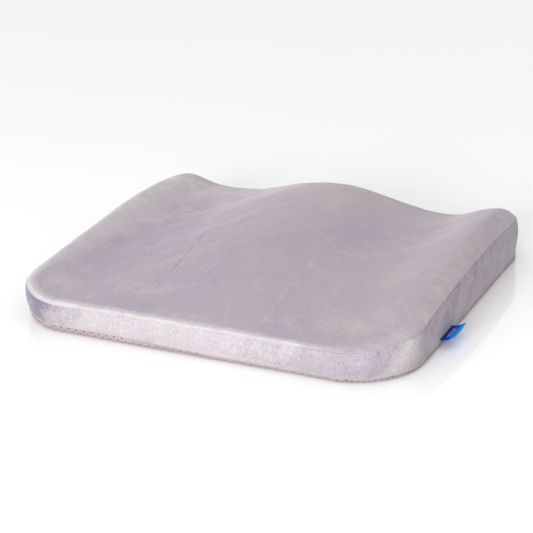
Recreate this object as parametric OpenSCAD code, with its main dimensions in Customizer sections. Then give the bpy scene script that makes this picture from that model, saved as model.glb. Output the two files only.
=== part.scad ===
// Contoured seat cushion: a moulded foam pad inside a zipped, sewn cover.
// The origin is the middle of the underside. +Z is up and +Y points to the thick, contoured edge.
// The cover is a top panel, four side bands and a rolled bottom panel, closed by a zip in the thick edge.

/* [Cushion] */
// Width between the two side seams
cushion_w = 450; // [430:1:480]
// Depth from the thin edge to the thick edge
cushion_d = 432; // [420:1:450]
// Corner radius at the thin edge
front_r = 68; // [55:1:80]
// Corner radius at the thick edge
rear_r = 40; // [32:1:48]
// Height of the top seam along the thin edge
front_h = 34; // [31:1:40]
// Height of the plateau behind, without its ridges
rear_h = 56; // [54:1:62]

/* [Contour] */
// Rise of the middle ridge above the plateau
pommel_rise = 23; // [14:1:26]
// Half width of the middle ridge
pommel_half = 142; // [120:1:150]
// Rise of each side ridge above the plateau
side_rise = 16; // [8:1:18]
// Distance of each side ridge's crest from the side seam
side_crest = 13; // [10:1:20]
// Half width of each side ridge
side_half = 58; // [50:1:80]
// Share of the depth over which the ridges grow to full height
rise_share = 0.82; // [0.7:0.01:0.9]
// How far the plateau falls away at the thick edge
tail_fall = 18; // [12:1:19]
// Share of the depth where that fall starts
tail_share = 0.68; // [0.6:0.01:0.75]
// Roll of the top surface down to the side seams
side_roll = 16; // [8:1:18]
// Share of the side roll that has gone at the thick edge
side_ease = 0.56; // [0.3:0.02:0.6]
// Roll of the top surface down to the rear seam
rear_roll = 7; // [4:1:8]
// Share of the ridges that has gone at the rear seam
ridge_fade = 0.5; // [0.2:0.05:0.6]

/* [Cover] */
// Thickness of the cover fabric
fabric_t = 1.5; // [1:0.1:1.6]
// Air between the cover and the foam, which the seam threads fill
foam_gap = 1; // [0.8:0.1:1.2]
// Radius of the bottom panel's rolled rim
rim_r = 8; // [7:0.5:9]
// How far the side bands belly out between their seams
band_belly = 2; // [0:0.25:3]
// Angle round each rear corner where the side band meets the rear bands
join_angle = 20; // [10:10:40]

/* [Zip] */
// Length of the zip opening
zip_l = 332; // [300:2:332]
// Height of the zip above the underside
zip_z = 18; // [17.5:0.5:18.5]
// Half height of the gap between the rear bands
zip_gap = 4.6; // [4.5:0.1:4.8]
// Length of the slider
slider_l = 12; // [10:0.5:14]
// Length of the pull, from its pin to its tip
pull_l = 22; // [18:1:28]

/* [Labels] */
// Width of the side tag along the cushion
tag_w = 40; // [25:1:50]
// How far the side tag stands out
tag_out = 14; // [8:1:16]
// Place of the side tag's middle along the depth
tag_y = -78; // [-110:1:60]
// Height of the side tag's root
tag_z = 9; // [8:0.5:11]

/* [Hidden] */

velour = [0.74, 0.70, 0.74];
velour_edge = [0.80, 0.76, 0.79];
grip_fabric = [0.79, 0.71, 0.74];
thread_colour = [0.68, 0.64, 0.69];
zip_colour = [0.62, 0.59, 0.64];
metal = [0.78, 0.79, 0.81];

half_w = cushion_w / 2;
half_d = cushion_d / 2;
front_roll = 1.5;
front_roll_w = 14;
side_roll_w = 20;
side_roll_start = 0.28;
side_ease_start = 0.8;
side_ease_power = 1.3;
rear_roll_w = 50;
tail_power = 2.5;

foam_inset = fabric_t + foam_gap;
foam_rear_extra = 2.2;
thread_r = 0.3;
thread_inset = fabric_t + 0.4;
thread_sides = 6;
topstitch_r = 0.25;
topstitch_z = zip_gap + 2.5;

// Sampling of the outline, of the rings over the top, and of a band's height
front_steps = 8;
side_steps = 14;
rear_steps = 16;
arc_step = 10;
top_rings = 9;
band_rows = 6;
roll_steps = 4;

zip_half = zip_l / 2;
zip_ease = 12;
tape_t = 0.7;
tape_y = half_d - fabric_t - 0.2 - tape_t;
tape_over = 4;
tape_slot = 0.7;
tape_w = 8.2;
coil_y = tape_y + tape_t;
coil_t = 1.85;
coil_h = 2;
stop_l = 3;
stop_h = 2.6;
coil_half = zip_half - stop_l - 1;

plate_t = 1;
plate_half_h = 4.1;
inner_plate_y = tape_y - 0.3 - plate_t;
outer_plate_y = coil_y + coil_t + 0.3;
post_t = 0.8;
bail_half = 3.2;
bail_wall = 1;
bail_t = 2;
pin_r = 0.6;
pin_y = outer_plate_y + plate_t + 1.1;
bail_top = pin_y + pin_r + 0.3;
slider_x = coil_half - slider_l / 2 - 1;
pull_arm = 1.1;
pull_in = 1.5;
pull_t = 2 * pin_r;
pull_hole = 4.3;
pull_end_r = 3.4;
grip_hole_r = 1.3;

layer_t = 0.5;
layer_gap = 0.2;
tag_t = 2 * layer_t + layer_gap;
tag_lift = 4.5;
tag_curl_r = (tag_out * tag_out + tag_lift * tag_lift) / (2 * tag_lift);
tag_curl = asin(tag_out / tag_curl_r);
tag_root_x = half_w + 1.1;
label_t = 0.25;
label_w = 40;
label_h = 22;

// Height of the top surface

function bump(u, centre, half) = (1 + cos(180 * min(1, abs(u - centre) / half))) / 2;
function depth_share(y) = min(1, max(0, y / cushion_d + 0.5));
function growth(y) =
    let (s = depth_share(y)) s < rise_share ? 1 - pow(1 - s / rise_share, 2) : 1;
function ridges(x) =
    pommel_rise * bump(abs(x), 0, pommel_half)
    + side_rise * bump(abs(x), half_w - side_crest, side_half);
function tail(y) =
    tail_fall * pow(max(0, (depth_share(y) - tail_share) / (1 - tail_share)), tail_power);
function edge_roll(distance, width) = pow(max(0, 1 - distance / width), 2);
function side_hold(y) =
    1 - side_ease * pow(
        max(0, (depth_share(y) - side_ease_start) / (1 - side_ease_start)),
        side_ease_power
    );
function side_drop(y) =
    side_roll * side_hold(y) * (side_roll_start + (1 - side_roll_start) * pow(growth(y), 2));
function top_z(x, y) =
    front_h
    + growth(y) * (rear_h - front_h + ridges(x))
    - tail(y)
    - side_drop(y) * edge_roll(half_w - abs(x), side_roll_w)
    - (rear_roll + ridge_fade * ridges(x)) * edge_roll(half_d - y, rear_roll_w)
    - front_roll * edge_roll(half_d + y, front_roll_w);

// Outline: each point is [x, y, normal x, normal y]. The right half runs from the middle of the
// thin edge to the middle of the thick edge, and the left half mirrors it.

function corner_arc(cx, cy, r, first) = [
    for (a = [0 : arc_step : 90])
        [cx + r * cos(first + a), cy + r * sin(first + a), cos(first + a), sin(first + a)]
];
function front_run() = [
    for (i = [0 : front_steps - 1]) [(half_w - front_r) * i / front_steps, -half_d, 0, -1]
];
function side_run() = let (y0 = front_r - half_d, y1 = half_d - rear_r) [
    for (i = [1 : side_steps - 1]) [half_w, y0 + (y1 - y0) * i / side_steps, 1, 0]
];
function rear_run() = let (x1 = half_w - rear_r) concat(
    [for (i = [1 : 3]) [x1 - (x1 - zip_half) * i / 4, half_d, 0, 1]],
    [for (i = [0 : rear_steps]) [zip_half * (1 - i / rear_steps), half_d, 0, 1]]
);
half_outline = concat(
    front_run(),
    corner_arc(half_w - front_r, front_r - half_d, front_r, -90),
    side_run(),
    corner_arc(half_w - rear_r, half_d - rear_r, rear_r, 0),
    rear_run()
);
half_n = len(half_outline);
join_i = front_steps + (90 / arc_step + 1) + (side_steps - 1) + join_angle / arc_step;

function mirrored(p) = [-p[0], p[1], -p[2], p[3]];
full_outline = concat(
    half_outline,
    [for (i = [half_n - 2 : -1 : 1]) mirrored(half_outline[i])]
);
side_path = [for (i = [0 : join_i]) half_outline[i]];
rear_path = concat(
    [for (i = [join_i : half_n - 1]) half_outline[i]],
    [for (i = [half_n - 2 : -1 : join_i]) mirrored(half_outline[i])]
);

// A point below outline point p, moved in by inset, where the side bellies out at height z
function seam_z(p) = top_z(p[0], p[1]);
function belly(p, z) =
    let (share = min(1, max(0, (z - rim_r) / (seam_z(p) - rim_r))))
    band_belly * (1 - max(0, p[3])) * sin(180 * share);
function side_point(p, inset, z) =
    let (out = belly(p, z) - inset) [p[0] + p[2] * out, p[1] + p[3] * out, z];

// Solids lofted through rings that all have the same number of points

function ring_faces(first, n) = [
    for (j = [0 : n - 1])
        let (k = (j + 1) % n)
            each [[first + j, first + n + k, first + k], [first + j, first + n + j, first + n + k]]
];

// Rings closed by a single point at each end
module ball_loft(start, rings, end) {
    n = len(rings[0]);
    last = 1 + len(rings) * n;
    points = concat([start], [for (r = rings) each r], [end]);
    walls = [for (i = [0 : len(rings) - 2]) each ring_faces(1 + i * n, n)];
    start_fan = [for (j = [0 : n - 1]) [0, 1 + j, 1 + (j + 1) % n]];
    end_fan = [for (j = [0 : n - 1]) [last, last - n + (j + 1) % n, last - n + j]];
    polyhedron(points, concat(walls, start_fan, end_fan));
}

// Rings closed by flat caps
module strip_loft(rings) {
    n = len(rings[0]);
    last = (len(rings) - 1) * n;
    points = [for (r = rings) each r];
    walls = [for (i = [0 : len(rings) - 2]) each ring_faces(i * n, n)];
    start_cap = [for (j = [0 : n - 1]) j];
    end_cap = [for (j = [n - 1 : -1 : 0]) last + j];
    polyhedron(points, concat(walls, [start_cap, end_cap]));
}

// Rings that come back to the first one
module loop_loft(rings) {
    n = len(rings[0]);
    count = len(rings);
    points = [for (r = rings) each r];
    walls = [
        for (i = [0 : count - 1], j = [0 : n - 1])
            let (a = i * n, b = ((i + 1) % count) * n, k = (j + 1) % n)
                each [[a + j, b + k, a + k], [a + j, b + j, b + k]]
    ];
    polyhedron(points, walls);
}

// Cross-section of a strip of fabric that stands under outline point p, from z0 to z1
function band_ring(p, z0, z1, inset, t) = concat(
    [for (j = [0 : band_rows]) side_point(p, inset, z0 + (z1 - z0) * j / band_rows)],
    [for (j = [band_rows : -1 : 0]) side_point(p, inset + t, z0 + (z1 - z0) * j / band_rows)]
);
function side_thread_ring(p, z) =
    let (c = side_point(p, thread_inset, z))
        [for (j = [0 : thread_sides - 1]) let (a = 360 * j / thread_sides)
            c + thread_r * [p[2] * cos(a), p[3] * cos(a), sin(a)]];

function scaled_ring(ring, k, below) =
    [for (p = ring) [p[0] * k, p[1] * k, top_z(p[0] * k, p[1] * k) - below]];
function ring_scale(i) = sin(90 * i / top_rings);

module top_panel() {
    outer = [for (i = [1 : top_rings]) scaled_ring(full_outline, ring_scale(i), 0)];
    inner = [for (i = [top_rings : -1 : 1]) scaled_ring(full_outline, ring_scale(i), fabric_t)];
    middle = top_z(0, 0);
    color(velour)
        ball_loft([0, 0, middle], concat(outer, inner), [0, 0, middle - fabric_t]);
}

module foam_core() {
    function foam_in(p) = foam_inset + foam_rear_extra * pow(max(0, p[3]), 2);
    function foam_edge(p) = [p[0] - p[2] * foam_in(p), p[1] - p[3] * foam_in(p)];
    function foam_top(p) = let (e = foam_edge(p)) top_z(e[0], e[1]) - foam_inset;
    roll = [
        for (i = [0 : roll_steps]) let (a = 90 * i / roll_steps) [
            for (p = full_outline) side_point(
                p,
                rim_r - (rim_r - foam_in(p)) * sin(a),
                rim_r - (rim_r - fabric_t) * cos(a)
            )
        ]
    ];
    wall = [
        for (i = [1 : band_rows]) [
            for (p = full_outline)
                side_point(p, foam_in(p), rim_r + (foam_top(p) - rim_r) * i / band_rows)
        ]
    ];
    edge = [for (p = full_outline) foam_edge(p)];
    top = [for (i = [top_rings - 1 : -1 : 1]) scaled_ring(edge, ring_scale(i), foam_inset)];
    color("lightyellow")
        ball_loft([0, 0, fabric_t], concat(roll, wall, top), [0, 0, top_z(0, 0) - foam_inset]);
}

module side_band() {
    color(velour_edge)
        strip_loft([for (p = side_path) band_ring(p, rim_r, seam_z(p) - fabric_t, 0, fabric_t)]);
}

module band_right() {
    side_band();
}

module band_left() {
    mirror([1, 0, 0]) side_band();
}

// Half the gap between the two rear bands, which closes beyond the ends of the zip
function gap_at(x) =
    let (s = min(1, max(0, (abs(x) - zip_half) / zip_ease))) zip_gap * (1 + cos(180 * s)) / 2;

module rear_band_upper() {
    color(velour_edge)
        strip_loft([
            for (p = rear_path)
                band_ring(p, zip_z + gap_at(p[0]), seam_z(p) - fabric_t, 0, fabric_t)
        ]);
}

module rear_band_lower() {
    color(velour_edge)
        strip_loft([
            for (p = rear_path) band_ring(p, rim_r, zip_z - gap_at(p[0]), 0, fabric_t)
        ]);
}

// Quarter ring from straight down to straight out, about the origin
module rim_profile() {
    intersection() {
        difference() {
            circle(r = rim_r, $fn = 64);
            circle(r = rim_r - fabric_t, $fn = 64);
        }
        translate([0, -rim_r]) square([rim_r, rim_r]);
    }
}

// Rim along a straight edge that starts at [x, y] and runs anticlockwise at the given angle
module rim_edge(x, y, angle, length) {
    translate([x, y, rim_r])
        rotate([0, 0, angle])
            rotate([90, 0, 90])
                linear_extrude(length) mirror([1, 0]) rim_profile();
}

module rim_corner(cx, cy, r, first) {
    translate([cx, cy, rim_r])
        rotate([0, 0, first])
            rotate_extrude(angle = 90, $fn = 96) translate([r - rim_r, 0]) rim_profile();
}

module bottom_plate() {
    inner_w = half_w - rim_r;
    inner_d = half_d - rim_r;
    linear_extrude(fabric_t) {
        difference() {
            translate([-inner_w, -inner_d]) square([2 * inner_w, 2 * inner_d]);
            for (sx = [-1, 1]) {
                corner_bite(sx, -1, front_r);
                corner_bite(sx, 1, rear_r);
            }
        }
    }
}

// The part of a square corner that lies outside its rounding
module corner_bite(sx, sy, r) {
    over = 1;
    mirror([sx < 0 ? 1 : 0, 0])
        mirror([0, sy < 0 ? 1 : 0])
            translate([half_w - r, half_d - r])
                difference() {
                    square([r - rim_r + over, r - rim_r + over]);
                    circle(r = r - rim_r, $fn = 96);
                }
}

module bottom_panel() {
    straight_d = cushion_d - front_r - rear_r;
    color(grip_fabric) {
        bottom_plate();
        rim_edge(front_r - half_w, rim_r - half_d, 0, cushion_w - 2 * front_r);
        rim_edge(half_w - rim_r, front_r - half_d, 90, straight_d);
        rim_edge(half_w - rear_r, half_d - rim_r, 180, cushion_w - 2 * rear_r);
        rim_edge(rim_r - half_w, half_d - rear_r, 270, straight_d);
        rim_corner(half_w - front_r, front_r - half_d, front_r, 270);
        rim_corner(half_w - rear_r, half_d - rear_r, rear_r, 0);
        rim_corner(rear_r - half_w, half_d - rear_r, rear_r, 90);
        rim_corner(front_r - half_w, front_r - half_d, front_r, 180);
    }
}

module top_seam_thread() {
    color(thread_colour)
        loop_loft([
            for (p = full_outline) side_thread_ring(p, seam_z(p) - fabric_t - thread_r - 0.1)
        ]);
}

module bottom_seam_thread() {
    color(thread_colour) loop_loft([for (p = full_outline) side_thread_ring(p, rim_r)]);
}

// Upright thread behind the band join at outline point p
module join_thread(p) {
    z0 = rim_r + 1;
    z1 = seam_z(p) - fabric_t - 1.5;
    strip_loft([
        for (i = [0 : band_rows]) let (c = side_point(p, thread_inset, z0 + (z1 - z0) * i / band_rows))
            [for (j = [0 : thread_sides - 1]) let (a = -360 * j / thread_sides)
                c + thread_r * [cos(a), sin(a), 0]]
    ]);
}

module front_join_thread() {
    color(thread_colour) join_thread(half_outline[0]);
}

module rear_join_threads() {
    color(thread_colour)
        for (m = [0, 1]) mirror([m, 0, 0]) join_thread(half_outline[join_i]);
}

module along_x(x, y, z) {
    translate([x, y, z]) rotate([90, 0, 90]) children();
}

module zip_topstitch() {
    color(thread_colour)
        for (side = [-1, 1])
            along_x(-zip_half, half_d + topstitch_r + 0.01, zip_z + side * topstitch_z)
                cylinder(h = zip_l, r = topstitch_r, $fn = 24);
}

module zip_tape(z) {
    color(zip_colour)
        translate([-zip_half - tape_over, tape_y, z])
            cube([zip_l + 2 * tape_over, tape_t, tape_w]);
}

module zip_tape_upper() {
    zip_tape(zip_z + tape_slot);
}

module zip_tape_lower() {
    zip_tape(zip_z - tape_slot - tape_w);
}

// One side of the closed coil, with its outer face rounded
module coil_bar() {
    round_r = coil_t / 2;
    along_x(-coil_half, coil_y, zip_z + tape_slot)
        linear_extrude(2 * coil_half) {
            square([coil_t - round_r, coil_h]);
            translate([coil_t - round_r, 0]) square([round_r, coil_h - round_r]);
            translate([coil_t - round_r, coil_h - round_r]) circle(r = round_r, $fn = 48);
        }
}

module zip_coil_upper() {
    color(zip_colour) coil_bar();
}

module zip_coil_lower() {
    color(zip_colour) translate([0, 0, 2 * zip_z]) mirror([0, 0, 1]) coil_bar();
}

module zip_top_stops() {
    color(metal)
        for (side = [-1, 1])
            translate([coil_half, coil_y, zip_z + side * (tape_slot + stop_h / 2) - stop_h / 2])
                cube([stop_l, coil_t, stop_h]);
}

module zip_bottom_stop() {
    stop_z = tape_slot + stop_h;
    color(metal)
        translate([-coil_half - stop_l, coil_y, zip_z - stop_z])
            cube([stop_l, coil_t, 2 * stop_z]);
}

// A flat shape in the plane of the zip, t thick, with its inner face at y
module plate_at(x, y, t) {
    translate([x, y + t, zip_z]) rotate([90, 0, 0]) linear_extrude(t) children();
}

module slider_outline() {
    intersection() {
        square([slider_l, 2 * plate_half_h], center = true);
        circle(r = slider_l / 2 + 0.5, $fn = 96);
    }
}

// One folded-over edge of the slider's outer plate
module slider_flange() {
    flange_y = coil_y + 0.3;
    intersection() {
        plate_at(slider_x, flange_y, outer_plate_y - flange_y) slider_outline();
        translate([slider_x - slider_l, flange_y, zip_z + plate_half_h - plate_t])
            cube([2 * slider_l, outer_plate_y - flange_y, plate_t]);
    }
}

module zip_slider() {
    color(metal) {
        plate_at(slider_x, inner_plate_y, plate_t) slider_outline();
        plate_at(slider_x, outer_plate_y, plate_t) slider_outline();
        translate([slider_x + slider_l / 2 - 4, inner_plate_y + plate_t, zip_z - post_t / 2])
            cube([3, outer_plate_y - inner_plate_y - plate_t, post_t]);
        slider_flange();
        translate([0, 0, 2 * zip_z]) mirror([0, 0, 1]) slider_flange();
        // Bail that the pull hangs on
        translate([slider_x, 0, zip_z - bail_t / 2])
            linear_extrude(bail_t)
                difference() {
                    translate([-bail_half, outer_plate_y + plate_t])
                        square([2 * bail_half, bail_top + bail_wall - outer_plate_y - plate_t]);
                    translate([bail_wall - bail_half, outer_plate_y + plate_t])
                        square([
                            2 * (bail_half - bail_wall),
                            bail_top - outer_plate_y - plate_t
                        ]);
                }
    }
}

module zip_pull() {
    arm_out = pull_in + pull_arm;
    tab_l = pull_l - pull_end_r - pull_hole;
    color(metal) {
        // Pin that turns under the bail
        translate([slider_x, pin_y, zip_z - arm_out]) cylinder(h = 2 * arm_out, r = pin_r, $fn = 48);
        plate_at(slider_x, pin_y - pin_r, pull_t)
            translate([-pull_hole, 0])
                difference() {
                    union() {
                        translate([0, -arm_out]) square([pull_hole, 2 * arm_out]);
                        translate([-tab_l, -pull_end_r]) square([tab_l, 2 * pull_end_r]);
                        translate([-tab_l, 0]) circle(r = pull_end_r, $fn = 64);
                    }
                    // Opening that the bail passes through, and the hole for a finger cord
                    translate([0, -pull_in]) square([pull_hole + 1, 2 * pull_in]);
                    translate([-tab_l, 0]) circle(r = grip_hole_r, $fn = 48);
                }
    }
}

// A curved layer of the tag's ribbon, from its root to the given angle, about the curl's centre
module ribbon_layer(outer_r, t, angle) {
    rotate([0, 0, -90])
        intersection() {
            difference() {
                circle(r = outer_r, $fn = 180);
                circle(r = outer_r - t, $fn = 180);
            }
            polygon([[0, 0], [2 * outer_r, 0], [2 * outer_r, 2 * outer_r * tan(angle)]]);
        }
}

module side_tag() {
    color("royalblue")
        translate([tag_root_x, tag_y + tag_w / 2, tag_z + tag_curl_r])
            rotate([90, 0, 0])
                linear_extrude(tag_w) {
                    difference() {
                        ribbon_layer(tag_curl_r + tag_t / 2, tag_t, tag_curl);
                        ribbon_layer(tag_curl_r + layer_gap / 2, layer_gap, tag_curl - 1.5);
                    }
                }
}

module care_label() {
    path = [for (i = [-2 : 2]) [-half_w, label_w * i / 4, -1, 0]];
    z0 = rim_r + 1;
    color("white")
        strip_loft([
            for (p = path) band_ring(p, z0, z0 + label_h, fabric_t + 0.3, label_t)
        ]);
}

foam_core();
top_panel();
band_left();
band_right();
rear_band_upper();
rear_band_lower();
bottom_panel();
top_seam_thread();
bottom_seam_thread();
front_join_thread();
rear_join_threads();
zip_topstitch();
zip_tape_upper();
zip_tape_lower();
zip_coil_upper();
zip_coil_lower();
zip_top_stops();
zip_bottom_stop();
zip_slider();
zip_pull();
side_tag();
care_label();
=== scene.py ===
"""Contoured seat cushion: a moulded foam pad in a sewn velour cover with a zip in its thick edge.

Lengths in the shape functions are in millimetres, as in the design; MM turns them into metres.
"""

import math

import bmesh
import bpy
import numpy as np
from mathutils import Matrix, Vector

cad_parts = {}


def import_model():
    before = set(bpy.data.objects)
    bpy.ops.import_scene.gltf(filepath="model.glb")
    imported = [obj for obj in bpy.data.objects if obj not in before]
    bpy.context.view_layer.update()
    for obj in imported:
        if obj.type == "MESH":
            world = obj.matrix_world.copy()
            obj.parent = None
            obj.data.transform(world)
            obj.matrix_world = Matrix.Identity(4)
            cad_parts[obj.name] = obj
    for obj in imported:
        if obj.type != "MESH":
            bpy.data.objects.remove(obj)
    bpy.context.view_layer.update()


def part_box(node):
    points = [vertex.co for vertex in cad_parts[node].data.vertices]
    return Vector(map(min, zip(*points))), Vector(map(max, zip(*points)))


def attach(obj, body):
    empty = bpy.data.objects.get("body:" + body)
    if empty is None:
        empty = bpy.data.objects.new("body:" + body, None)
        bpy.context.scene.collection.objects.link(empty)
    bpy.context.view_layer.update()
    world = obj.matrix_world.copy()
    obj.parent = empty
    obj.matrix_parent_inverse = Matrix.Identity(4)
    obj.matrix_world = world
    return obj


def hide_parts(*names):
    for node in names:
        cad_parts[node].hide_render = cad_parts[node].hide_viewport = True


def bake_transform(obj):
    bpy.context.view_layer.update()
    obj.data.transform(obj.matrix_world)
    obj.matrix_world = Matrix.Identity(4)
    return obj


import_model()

MM = 0.001


def size_of(node):
    """Low and high corners of a CAD node in millimetres."""
    low, high = (np.array(corner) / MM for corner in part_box(node))
    return low, high


PANEL_LOW, PANEL_HIGH = size_of("top_panel")
HALF_W = (PANEL_HIGH[0] - PANEL_LOW[0]) / 2
HALF_D = (PANEL_HIGH[1] - PANEL_LOW[1]) / 2
FRONT_R = 68
REAR_R = 40
RIM_R = 8
FABRIC_T = 1.5
FOAM_INSET = 2.5
FOAM_REAR_EXTRA = 2.2
FOAM_EDGE_R = 3.0

# Contour of the top surface
FRONT_H = 34
REAR_H = 56
MIDDLE_RISE = 23
MIDDLE_HALF = 142
SIDE_RISE = 16
SIDE_CREST = 13
SIDE_HALF = 58
RISE_SHARE = 0.82
TAIL_FALL = 18
TAIL_SHARE = 0.68
TAIL_POWER = 2.5
SIDE_ROLL = 16
SIDE_ROLL_START = 0.28
SIDE_ROLL_W = 20
SIDE_EASE = 0.56
SIDE_EASE_START = 0.8
SIDE_EASE_POWER = 1.3
REAR_ROLL = 7
REAR_ROLL_W = 50
RIDGE_FADE = 0.5
LEFT_LOW = 2.8
LEFT_FULL = 2.4
LEFT_FULL_X = 90
LEFT_FULL_Y = (50, 120)
RIGHT_HALF = 68
FRONT_ROLL = 1.5
FRONT_ROLL_W = 14
BELLY = 2
JOIN_ANGLE = 20

# Sewing
SEAM_DROP = 0.7
TUCK_IN = 1.1
TUCK_R = 1.6
SOFT_EDGE = 1.6
SOFT_EDGE_W = 9.0
SOFT_UNDER_W = 30
TURN_IN = 0.6
# Where the pile hides the top seam: (distances from the middle of the thin edge, shares)
EDGE_SOFT = ((-262, -235, 105, 175), (0.0, 1.0, 1.0, 0.0))
STITCH_PITCH = 3.0
STITCH_R = 0.22
STITCH_IN = 0.45
STITCH_UNDER = 1.0
CORD_SIDES = 6

# Columns round the cover, halved towards the middle of a panel
COLUMNS = 720


# ---- shape functions


def bump(u, centre, half):
    return (1 + np.cos(np.pi * np.minimum(1, np.abs(u - centre) / half))) / 2


def raised(flat, z):
    """Points (x, y, z) from points (x, y) and their heights, or the one height of them all."""
    return np.column_stack([flat, np.broadcast_to(z, len(flat))])


def tip(z):
    """The row of one point that closes a surface on the middle line."""
    return np.array([[0.0, 0.0, z]])


def depth_share(y):
    return np.clip(y / (2 * HALF_D) + 0.5, 0, 1)


def growth(y):
    s = depth_share(y)
    return np.where(s < RISE_SHARE, 1 - (1 - np.minimum(1, s / RISE_SHARE)) ** 2, 1.0)


def ridges(x):
    """Rise of the middle ridge and of the side ones: the left is lower and the right is wider."""
    middle = MIDDLE_RISE * bump(np.abs(x), 0, MIDDLE_HALF)
    rise = np.where(x < 0, SIDE_RISE - LEFT_LOW, SIDE_RISE)
    half = np.where(x < 0, SIDE_HALF, RIGHT_HALF)
    return middle + rise * bump(np.abs(x), HALF_W - SIDE_CREST, half)


def edge_roll(distance, width):
    return np.maximum(0, 1 - distance / width) ** 2


def top_z(x, y):
    grown = growth(y)
    tail = TAIL_FALL * np.maximum(0, (depth_share(y) - TAIL_SHARE) / (1 - TAIL_SHARE)) ** TAIL_POWER
    past = np.maximum(0, (depth_share(y) - SIDE_EASE_START) / (1 - SIDE_EASE_START))
    hold = 1 - SIDE_EASE * past**SIDE_EASE_POWER
    side = SIDE_ROLL * hold * (SIDE_ROLL_START + (1 - SIDE_ROLL_START) * grown**2)
    return (
        FRONT_H
        + grown * (REAR_H - FRONT_H + ridges(x))
        + LEFT_FULL * bump(x, -HALF_W, LEFT_FULL_X) * bump(y, *LEFT_FULL_Y)
        - tail
        - side * edge_roll(HALF_W - np.abs(x), SIDE_ROLL_W)
        - (REAR_ROLL + RIDGE_FADE * ridges(x)) * edge_roll(HALF_D - y, REAR_ROLL_W)
        - FRONT_ROLL * edge_roll(HALF_D + y, FRONT_ROLL_W)
    )


def outline_pieces():
    """(start x, start y, heading, length, radius) of each piece of the outline, anticlockwise from
    the middle of the thin edge; the radius is 0 where it is straight."""
    quarter = math.pi / 2
    front = HALF_W - FRONT_R
    side = 2 * HALF_D - FRONT_R - REAR_R
    rear = 2 * (HALF_W - REAR_R)
    return [
        (0, -HALF_D, 0, front, 0),
        (front, -HALF_D, 0, FRONT_R * quarter, FRONT_R),
        (HALF_W, FRONT_R - HALF_D, quarter, side, 0),
        (HALF_W, HALF_D - REAR_R, quarter, REAR_R * quarter, REAR_R),
        (HALF_W - REAR_R, HALF_D, 2 * quarter, rear, 0),
        (REAR_R - HALF_W, HALF_D, 2 * quarter, REAR_R * quarter, REAR_R),
        (-HALF_W, HALF_D - REAR_R, 3 * quarter, side, 0),
        (-HALF_W, FRONT_R - HALF_D, 3 * quarter, FRONT_R * quarter, FRONT_R),
        (-front, -HALF_D, 4 * quarter, front, 0),
    ]


PIECES = outline_pieces()
ROUND = sum(piece[3] for piece in PIECES)
JOIN_S = sum(piece[3] for piece in PIECES[:3]) + REAR_R * math.radians(JOIN_ANGLE)


def outline(s):
    """Points and outward normals at distances s along the outline."""
    s = np.asarray(s, float) % ROUND
    points = np.zeros((len(s), 2))
    normals = np.zeros((len(s), 2))
    start = 0.0
    for x, y, heading, length, radius in PIECES:
        here = (s >= start - 1e-9) & (s <= start + length + 1e-9)
        t = s[here] - start
        if radius:
            angle = heading + t / radius
            cx, cy = x - radius * math.sin(heading), y + radius * math.cos(heading)
            normal = np.stack([np.sin(angle), -np.cos(angle)], 1)
            points[here] = np.array([cx, cy]) + radius * normal
        else:
            normal = np.tile([math.sin(heading), -math.cos(heading)], (len(t), 1))
            points[here] = np.array([x, y]) + t[:, None] * [math.cos(heading), math.sin(heading)]
        normals[here] = normal
        start += length
    return points, normals


def top_at(points):
    """Height of the top surface at points (x, y)."""
    return top_z(points[..., 0], points[..., 1])


def front_place(points, normals):
    """Distance along the outline from the middle of the thin edge, below 0 on the left; right on
    that edge and round its corners, and further beyond them."""
    turn = np.arctan2(np.abs(normals[..., 0]), -normals[..., 1])
    corner = HALF_W - FRONT_R
    straight = np.where(normals[..., 1] < 0, np.minimum(np.abs(points[..., 0]), corner), corner)
    return np.where(points[..., 0] < 0, -1, 1) * (straight + FRONT_R * turn)


def soft_share(points, normals):
    """1 where the pile and the padding hide the seam, along the thin edge, and 0 elsewhere."""
    return np.interp(front_place(points, normals), *EDGE_SOFT)


def under_share(normals):
    """1 in the middle of a front corner, where the cover is drawn under, and 0 elsewhere."""
    return (2 * np.abs(normals[..., 0]) * np.maximum(0, -normals[..., 1])) ** 1.5


def top_seam(points, normals):
    """Height of the seam between the top panel and the bands."""
    soft = soft_share(points, normals)
    return top_at(points) - SEAM_DROP * (1 - 0.9 * soft) - SOFT_EDGE * soft


# How the bottom of the cover is drawn under round the front corners, and where its seam is held
# lower: (distances from the middle of the thin edge, shares)
CORNER_UNDER = 2.2
CORNER_RIM = 3.2
HELD_RIM = 3.0
RIM_DROP = 2.7
RIM_HELD = ((-372, -265, -200, -90, 20, 265, 372), (0.0, 0.8, 0.0, 0.0, 1.0, 1.0, 0.0))


def held_share(points, normals):
    return np.interp(front_place(points, normals), *RIM_HELD)


def rim_top(points, normals):
    """Height of the seam between the bands and the rolled rim."""
    return RIM_R - RIM_DROP * held_share(points, normals)


def belly(points, normals, z):
    """How far the bands stand out past the outline at a height."""
    share = np.clip((z - RIM_R) / (top_at(points) - RIM_R), 0, 1)
    out = BELLY * (1 - np.maximum(0, normals[..., 1])) * np.sin(np.pi * share)
    return out - CORNER_UNDER * under_share(normals) * (1 - share) ** 2


def ripple(points, length, seed, count=9):
    """Smooth noise of about unit size: waves of roughly this length in all directions."""
    r = np.random.default_rng(seed)
    total = np.zeros(points.shape[:-1])
    for _ in range(count):
        heading = r.normal(size=points.shape[-1])
        heading /= np.linalg.norm(heading)
        wave = length * r.uniform(0.7, 1.6)
        total += np.sin(2 * np.pi / wave * (points @ heading) + r.uniform(0, 2 * np.pi))
    return total / math.sqrt(count / 2)


def tuck(distance, depth=TUCK_IN):
    """How far fabric has turned in at this distance from a seam."""
    rest = np.clip(1 - distance / TUCK_R, 0, 1)
    return depth * (1 - np.sqrt(1 - rest**2))


def seam_depth(points, normals):
    return TUCK_IN * (1 - soft_share(points, normals))


# ---- meshes


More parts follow.
